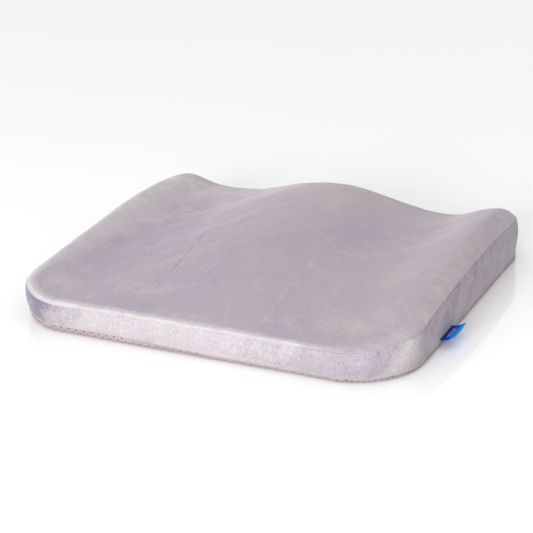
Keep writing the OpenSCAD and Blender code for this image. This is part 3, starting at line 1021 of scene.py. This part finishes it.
def tag_line(offset, start, end, count):
    """Points (x, z) of a layer of the curled tag, offset up from its middle, from one distance
    along it to another."""
    run = np.linspace(start, end, count)
    a = np.maximum(run, 0) / TAG_CURL_R
    r = TAG_CURL_R - offset
    x = TAG_ROOT_X + np.minimum(run, 0) + r * np.sin(a)
    return np.column_stack([x, TAG_Z + TAG_CURL_R - r * np.cos(a)])


def ribbon_line(offset):
    """Points (x, z) along the folded ribbon, at an offset from the middle of the fold."""
    end = TAG_RUN / TAG_CURL_R
    out = np.array([math.cos(end), math.sin(end)])
    up = np.array([-math.sin(end), math.cos(end)])
    middle = tag_line(0, TAG_RUN, TAG_RUN, 1)
    fold = np.radians(np.linspace(-90, 90, 13))[1:-1, None]
    bend = middle + offset * (1.25 * np.cos(fold) * out + np.sin(fold) * up)
    lower, upper = tag_line(-offset, -TAG_INSIDE, TAG_RUN, 34), tag_line(offset, TAG_RUN, -TAG_INSIDE, 34)
    return np.concatenate([lower, bend, upper])


def side_tag():
    """A woven ribbon folded double, with its fold at the outer edge and its ends in the seam."""
    y = np.linspace(TAG_LOW[1], TAG_HIGH[1], 61)
    centred = (y - y.mean()) / (TAG_W / 2)
    grids, runs = [], []
    for offset in (RIBBON_GAP + RIBBON_T / 2, RIBBON_GAP - RIBBON_T / 2):
        x, z = (v[:, None] for v in ribbon_line(offset).T)
        share = np.clip((x - TAG_ROOT_X) / TAG_OUT, 0, 1)
        x = x + 0.25 * share * np.sin(centred * 2.4 + 0.6)
        z = z + share**1.5 * (1.5 * centred**2 - 0.5 + 0.6 * centred)
        grids.append(grid_of(x, y, z))
        runs.append(np.clip((x - TAG_ROOT_X) / TAG_OUT, 0, 1))
    piece = add("woven_side_tag", *slab(*grids), body=None)
    face_out(piece.data)
    mark(piece, "run", np.concatenate(runs))
    mark(piece, "across", np.tile(np.abs(centred), 2 * len(grids[0])))
    return piece


def care_label():
    y = np.linspace(LABEL_LOW[1], LABEL_HIGH[1], 41)
    z = np.linspace(LABEL_HIGH[2], LABEL_LOW[2], 23)[:, None]
    flat = np.column_stack([np.full(len(y), -HALF_W), y])
    normals = np.tile([-1.0, 0.0], (len(y), 1))
    grids = []
    for inset in (FABRIC_T + 0.75, FABRIC_T + 0.55):
        out = belly(flat, normals, z) - inset + 0.06 * np.sin(z / 3.1 + y / 6.0)
        grids.append(grid_of(-HALF_W - out, y, z))
    return add("care_label_inside", *slab(*grids))


# ---- materials


class Finish:
    """A Principled material whose colour and relief come from procedural nodes."""

    def __init__(self, name, **sockets):
        self.material = bpy.data.materials.new(name)
        self.material.use_nodes = True
        self.nodes = self.material.node_tree.nodes
        self.links = self.material.node_tree.links
        self.shader = self.nodes["Principled BSDF"]
        for key, value in sockets.items():
            self.shader.inputs[key.replace("_", " ")].default_value = value
        self.place = self.nodes.new("ShaderNodeTexCoord").outputs["Object"]
        self.relief = None

    def put(self, value, socket):
        if isinstance(value, bpy.types.NodeSocket):
            self.links.new(value, socket)
        else:
            socket.default_value = value

    def node(self, kind, sockets, **settings):
        """Outputs of a new node with these settings, its sockets linked or filled in."""
        node = self.nodes.new("ShaderNode" + kind)
        for name, value in settings.items():
            setattr(node, name, value)
        for name, value in sockets.items():
            self.put(value, node.inputs[name])
        return node.outputs

    def stretched(self, times, direction):
        """Coordinates in which features come out this many times longer along a direction."""
        turn = Vector((1, 0, 0)).rotation_difference(Vector(direction)).to_euler()
        sockets = {"Vector": self.place, "Rotation": turn, "Scale": (times, 1, 1)}
        return self.node("Mapping", sockets, vector_type="TEXTURE")["Vector"]

    def kept(self, name):
        """A number that the mesh keeps at each point."""
        return self.node("Attribute", {}, attribute_name=name)["Fac"]

    def noise(self, size, detail=2.0, rough=0.5, where=None, distortion=0.0):
        """Noise with features of about this size, in metres."""
        sockets = {"Vector": where or self.place, "Scale": 1 / size, "Detail": detail}
        return self.node("TexNoise", {**sockets, "Roughness": rough, "Distortion": distortion})["Fac"]

    def wave(self, size, axis, distortion=0.0):
        """Ribs this wide across an axis."""
        sockets = {"Vector": self.place, "Scale": math.pi / 10 / size, "Distortion": distortion}
        return self.node("TexWave", sockets, wave_type="BANDS", bands_direction=axis)["Fac"]

    def math(self, kind, a, b=0.0):
        return self.node("Math", {0: a, 1: b}, operation=kind)[0]

    def times(self, a, b):
        return self.math("MULTIPLY", a, b)

    def plus(self, a, b):
        return self.math("ADD", a, b)

    def fit(self, value, low, high, to_low=0.0, to_high=1.0):
        """The way from low to high turned into the way from to_low to to_high."""
        ends = {"From Min": low, "From Max": high, "To Min": to_low, "To Max": to_high}
        return self.node("MapRange", {"Value": value, **ends})["Result"]

    def mix(self, share, a, b, blend="MIX"):
        return self.node("Mix", {0: share, 6: a, 7: b}, data_type="RGBA", blend_type=blend)[2]

    def emboss(self, height, strength, distance):
        """Relief on top of what is embossed already."""
        sockets = {"Height": height, "Strength": strength, "Distance": distance}
        if self.relief is not None:
            sockets["Normal"] = self.relief
        self.relief = self.node("Bump", sockets)["Normal"]
        self.links.new(self.relief, self.shader.inputs["Normal"])

    def colour(self, value):
        self.put(value, self.shader.inputs["Base Color"])

    def patches(self, size, detail, a, b, edge=0.15):
        """Two colours in soft patches of about this size."""
        return self.mix(self.fit(self.noise(size, detail), 0.5 - edge, 0.5 + edge), a, b)

    def roughness(self, value):
        self.put(value, self.shader.inputs["Roughness"])

    def uneven(self, size, detail, low, high):
        """Roughness that drifts between two values."""
        self.roughness(self.fit(self.noise(size, detail), 0.3, 0.7, low, high))


def rgb(r, g, b):
    return (r, g, b, 1.0)


# Tones of the pile: the brightest is a painted highlight, reached only where painted light lifts the pile;
# the light and dark ones are partly brushed pile and partly painted light and shade
PILE_PAINTED_HIGHLIGHT = rgb(0.49, 0.465, 0.482)
PILE_LIGHT = rgb(0.368, 0.337, 0.358)
PILE_COOL = rgb(0.290, 0.252, 0.299)
# painted sheen: the grey that the pile turns where the bands are painted lit
PILE_PAINTED_SHEEN_GREY = rgb(0.292, 0.264, 0.284)
PILE_WARM = rgb(0.318, 0.269, 0.297)
PILE_DARK = rgb(0.158, 0.147, 0.190)


def velour(name, streaks, clumping, clouding, graining, warmth, painted_sheen_greyness, brush):
    """Short-pile velour: light and dark where the pile is painted as lying towards the light and away
    from it, partly brushed pile and partly painted highlight, sheen and shade; strokes brushed along
    one direction, cloudy patches, and the grain of the pile. The first four numbers say how strongly
    each shows, and the next two how warm the pile may turn and how grey the painted sheen makes it."""
    m = Finish(
        name, Sheen_Weight=0.38, Sheen_Roughness=0.4, Sheen_Tint=rgb(1.0, 0.94, 0.99),
        Specular_IOR_Level=0.15,
    )
    nap_and_painted_light = m.kept("nap_and_painted_light")
    strokes = m.noise(0.0036, 3.0, 0.6, m.stretched(4.0, brush), 0.4)
    clumps = m.noise(0.0021, 2.5, 0.6, m.stretched(1.6, brush))
    pile = m.noise(0.0012, 2.0, 0.6)
    fibres = m.noise(0.0005, 2.0, 0.5)
    clouds = m.noise(0.024, 5.0, 0.62, None, 0.3)
    fuzz = m.plus(
        m.fit(strokes, 0.25, 0.75, -streaks, streaks), m.fit(clumps, 0.25, 0.75, -clumping, clumping)
    )
    # Brushed strokes, clumps and cloudy patches, on top of the painted highlight, sheen and shade that the
    # mesh keeps
    lie_and_painted_light = m.plus(nap_and_painted_light, m.times(fuzz, m.fit(nap_and_painted_light, 0.2, 1.1, 1.0, 0.6)))
    lie_and_painted_light = m.plus(lie_and_painted_light, m.fit(clouds, 0.30, 0.70, -clouding, clouding))
    plain = m.mix(m.fit(m.noise(0.13, 1.5), 0.35, 0.65, 0.0, warmth), PILE_COOL, PILE_WARM)
    # Painted sheen: where the bands are painted lit, the pile turns grey
    plain = m.mix(m.fit(nap_and_painted_light, -0.2, 0.2, 0.0, painted_sheen_greyness), plain, PILE_PAINTED_SHEEN_GREY)
    # Light, painted-highlight and dark tones: the brightest is reached only where painted light lifts the
    # pile, and the darkest is partly painted shade and partly dark strokes of pile
    tone = m.mix(m.fit(lie_and_painted_light, 0.12, 0.92), plain, PILE_LIGHT)
    tone = m.mix(m.fit(lie_and_painted_light, 1.25, 1.85), tone, PILE_PAINTED_HIGHLIGHT)
    tone = m.mix(m.fit(lie_and_painted_light, -0.30, -1.05), tone, PILE_DARK)
    grain = m.plus(m.times(clumps, 0.8), m.plus(pile, m.times(fibres, 0.7)))
    shade = m.fit(grain, 0.95, 1.55, 1 - graining, 1 + 0.9 * graining)
    m.colour(m.mix(1.0, tone, shade, "MULTIPLY"))
    m.roughness(m.fit(strokes, 0.3, 0.7, 0.95, 0.78))
    for height, strength, depth in (
        (strokes, 0.12, 0.0004), (clumps, 0.20, 0.0004), (pile, 0.34, 0.0003), (fibres, 0.30, 0.0002),
    ):
        m.emboss(height, strength, depth)
    return m.material


def grip_fabric():
    m = Finish("grip_fabric", Roughness=0.85, Sheen_Weight=0.2, Specular_IOR_Level=0.2)
    knit = m.times(m.wave(0.0011, "X"), m.wave(0.0014, "Y"))
    tone = m.patches(0.03, 3, rgb(0.31, 0.262, 0.275), rgb(0.36, 0.305, 0.318))
    m.colour(m.mix(m.fit(knit, 0.0, 1.0, 0.45, 0.0), tone, rgb(0.20, 0.15, 0.17)))
    m.emboss(knit, 0.5, 0.0003)
    m.emboss(m.noise(0.0006, 2), 0.3, 0.0002)
    return m.material


def silicone():
    m = Finish("grip_silicone", Specular_IOR_Level=0.5, Subsurface_Weight=0.05)
    m.colour(m.patches(0.05, 2, rgb(0.165, 0.045, 0.078), rgb(0.21, 0.06, 0.10), 0.1))
    m.uneven(0.004, 3, 0.36, 0.52)
    m.emboss(m.noise(0.0004, 2), 0.15, 0.0001)
    return m.material


def thread():
    m = Finish("sewing_thread", Sheen_Weight=0.3, Specular_IOR_Level=0.4)
    twist = m.wave(0.00045, "DIAGONAL")
    m.colour(m.mix(twist, rgb(0.42, 0.38, 0.43), rgb(0.62, 0.58, 0.63)))
    m.uneven(0.002, 2, 0.5, 0.7)
    m.emboss(twist, 0.5, 0.0001)
    return m.material


def tape_weave():
    m = Finish("zip_tape_weave", Sheen_Weight=0.2, Specular_IOR_Level=0.25)
    twill = m.times(m.wave(0.00055, "X", distortion=0.3), m.wave(0.0007, "DIAGONAL"))
    m.colour(m.mix(m.fit(twill, 0.0, 0.8), rgb(0.24, 0.22, 0.26), rgb(0.40, 0.37, 0.42)))
    m.uneven(0.01, 3, 0.75, 0.9)
    m.emboss(twill, 0.6, 0.00015)
    return m.material


def nylon():
    m = Finish("zip_nylon", Specular_IOR_Level=0.5, Coat_Weight=0.15, Coat_Roughness=0.3)
    m.colour(m.patches(0.012, 2, rgb(0.33, 0.30, 0.35), rgb(0.43, 0.40, 0.45)))
    m.uneven(0.0015, 3, 0.28, 0.45)
    m.emboss(m.noise(0.0004, 2), 0.1, 0.00005)
    return m.material


def plated_metal():
    m = Finish("plated_metal", Metallic=1.0)
    wear = m.noise(0.003, 4, 0.65)
    brushed = m.noise(0.0008, 3, 0.6, m.stretched(9, (1, 0, 0)))
    m.colour(m.mix(m.fit(wear, 0.45, 0.7), rgb(0.62, 0.63, 0.65), rgb(0.78, 0.78, 0.79)))
    m.roughness(m.fit(m.plus(wear, m.times(brushed, 0.5)), 0.5, 1.0, 0.22, 0.42))
    m.emboss(brushed, 0.12, 0.00005)
    return m.material


TAG_STRIPES = 8


def woven_ribbon():
    """Satin ribbon: navy at its root as painted shade, royal blue, and bright azure along its folded edge
    as a painted highlight, with fine pale stripes woven across the middle."""
    m = Finish("woven_ribbon", Specular_IOR_Level=0.15)
    run, across = m.kept("run"), m.kept("across")
    weave = m.times(m.wave(0.00035, "Y"), m.wave(0.0005, "X"))
    # Painted shade: navy at the root, turning to royal blue further out
    body = m.mix(m.fit(run, 0.05, 0.42), rgb(0.0, 0.012, 0.12), rgb(0.0, 0.075, 0.52))
    body = m.mix(m.fit(weave, 0, 0.9, 0.25, 0.0), body, rgb(0.0, 0.01, 0.12))
    line = m.math("SINE", m.times(run, 2 * math.pi * TAG_STRIPES))
    stripes = m.times(m.fit(line, 0.70, 0.95), m.fit(across, 0.62, 0.55))
    stripes = m.times(stripes, m.times(m.fit(run, 0.16, 0.2), m.fit(run, 0.56, 0.52)))
    body = m.mix(stripes, body, rgb(0.72, 0.80, 0.95))
    # Painted highlight: bright azure along the folded edge
    m.colour(m.mix(m.fit(run, 0.60, 0.74), body, rgb(0.0, 0.30, 1.0)))
    m.uneven(0.004, 3, 0.42, 0.58)
    m.emboss(weave, 0.5, 0.00012)
    return m.material


def label_satin():
    m = Finish("label_satin", Specular_IOR_Level=0.5, Sheen_Weight=0.15)
    weave = m.times(m.wave(0.0004, "Y"), m.wave(0.0005, "Z"))
    m.colour(m.mix(weave, rgb(0.70, 0.69, 0.67), rgb(0.84, 0.83, 0.81)))
    m.uneven(0.006, 2, 0.4, 0.55)
    m.emboss(weave, 0.4, 0.0001)
    return m.material


def open_cell_foam():
    m = Finish("open_cell_foam", Specular_IOR_Level=0.2, Subsurface_Weight=0.1)
    m.shader.inputs["Subsurface Radius"].default_value = (0.004, 0.003, 0.002)
    cells = m.node("TexVoronoi", {"Vector": m.place, "Scale": 1 / 0.0011})
    pores = m.fit(cells["Distance"], 0.05, 0.45)
    tone = m.patches(0.05, 3, rgb(0.78, 0.73, 0.58), rgb(0.84, 0.80, 0.66))
    m.colour(m.mix(pores, rgb(0.60, 0.54, 0.40), tone))
    m.roughness(m.fit(pores, 0, 1, 0.95, 0.85))
    m.emboss(pores, 0.5, 0.0005)
    return m.material


# ---- pieces


def dress(piece, material, slot, *nodes):
    """Give a piece its material, and let it replace its CAD nodes; the slot is not used."""
    piece.data.materials.clear()
    piece.data.materials.append(material)
    if nodes:
        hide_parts(*nodes)


top_velour = velour("velour_top", 0.16, 0.14, 0.34, 0.12, 1.0, 0.0, (0.22, 1, 0.05))
side_velour = velour("velour_sides", 0.38, 0.30, 0.48, 0.17, 0.6, 1.0, (0.3, 0.45, 0.84))

foam = foam_core()
dress(foam, open_cell_foam(), "foam", "foam_core")

top = top_panel()
dress(top, top_velour, "velour", "top_panel")
bands = [band(*plan) for plan in BANDS]
for piece, node in zip(bands, ("band_right", "band_left", "rear_band_upper", "rear_band_lower")):
    dress(piece, side_velour, "velour_band", node)
under = bottom_panel()
dress(under, grip_fabric(), "grip_fabric", "bottom_panel")
dress(grip_dots(), silicone(), "grip_fabric")

sewing = thread()
for piece, *nodes in threads():
    dress(piece, sewing, "thread", *nodes)

weave = tape_weave()
coil_nylon = nylon()
for half, side in ZIP_SIDES:
    dress(zip_tape("zip_tape_weave_" + half, side), weave, "zip_tape", "zip_tape_" + half)
for half, side in ZIP_SIDES:
    dress(zip_coil("zip_coil_wire_" + half, side), coil_nylon, "zip_coil", "zip_coil_" + half)

metal = plated_metal()
for node in ("zip_slider", "zip_pull", "zip_top_stops", "zip_bottom_stop"):
    part = bpy.data.objects[node]
    part.data.materials.clear()
    part.data.materials.append(metal)
    edges = part.modifiers.new("Worn edges", "BEVEL")
    edges.width = 0.18 * MM
    edges.segments = 3
    edges.limit_method = "ANGLE"
    edges.angle_limit = math.radians(40)

tag = side_tag()
dress(tag, woven_ribbon(), "tag_ribbon", "side_tag")
label = care_label()
dress(label, label_satin(), "label", "care_label")


def cut_band(piece, first, last, low, high):
    """Work out the height of a band from the heights of its two edges, with the turnings along them."""
    s = np.linspace(first, last, 400)
    flat, normals = outline(s)
    height = high(flat, normals) - low(flat, normals) + 2 * FABRIC_T


for piece, (_, ends, _, low_edge, high_edge, *_) in zip(bands, BANDS):
    cut_band(piece, *ends, low_edge, high_edge)

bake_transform(tag)


# ---- floor, light and camera


FLOOR_REACH = 9.0


def floor():
    m = Finish("gloss_floor", Roughness=0.06, Specular_IOR_Level=0.75)
    m.colour(m.patches(1.5, 2, rgb(0.89, 0.89, 0.893), rgb(0.91, 0.91, 0.913), 0.2))
    corners = [(x * FLOOR_REACH, y * FLOOR_REACH, 0) for x, y in ((-1, -1), (1, -1), (1, 1), (-1, 1))]
    mesh = bpy.data.meshes.new("studio_floor")
    mesh.from_pydata(corners, [], [(0, 1, 2, 3)])
    mesh.materials.append(m.material)
    show("studio_floor", mesh)


def softbox(name, place, aim, width, height, power):
    data = bpy.data.lights.new(name, "AREA")
    data.shape = "RECTANGLE"
    data.size, data.size_y = width, height
    data.energy = power
    lamp = show(name, data)
    lamp.location = place
    lamp.rotation_mode = "QUATERNION"
    lamp.rotation_quaternion = (Vector(aim) - Vector(place)).to_track_quat("-Z", "Y")


def world(strength):
    scene = bpy.context.scene
    scene.world = bpy.data.worlds.new("studio")
    scene.world.use_nodes = True
    background = scene.world.node_tree.nodes["Background"]
    background.inputs["Color"].default_value = rgb(1.0, 1.0, 1.0)
    background.inputs["Strength"].default_value = strength
    scene.view_settings.view_transform = "Standard"


VIEW_AZIMUTH = 25.49
VIEW_ELEVATION = 20.46
VIEW_ROLL = -1.03
VIEW_DISTANCE = 1.5863
VIEW_TARGET = (-0.0099, -0.0098, 0.0242)
LENS = 94.85


def camera():
    azimuth, elevation = math.radians(VIEW_AZIMUTH), math.radians(VIEW_ELEVATION)
    level = math.cos(elevation)
    back = Vector((math.sin(azimuth) * level, -math.cos(azimuth) * level, math.sin(elevation)))
    data = bpy.data.cameras.new("view")
    data.lens = LENS
    data.sensor_width = 36.0
    eye = show("view", data)
    eye.rotation_mode = "QUATERNION"
    roll = Matrix.Rotation(math.radians(VIEW_ROLL), 4, "Z").to_quaternion()
    eye.rotation_quaternion = (-back).to_track_quat("-Z", "Y") @ roll
    eye.location = Vector(VIEW_TARGET) + back * VIEW_DISTANCE
    bpy.context.scene.camera = eye


floor()
world(0.93)
softbox("front_key", (0.15, -2.6, 0.62), (0, 0, 0.03), 1.1, 0.7, 78)
camera()
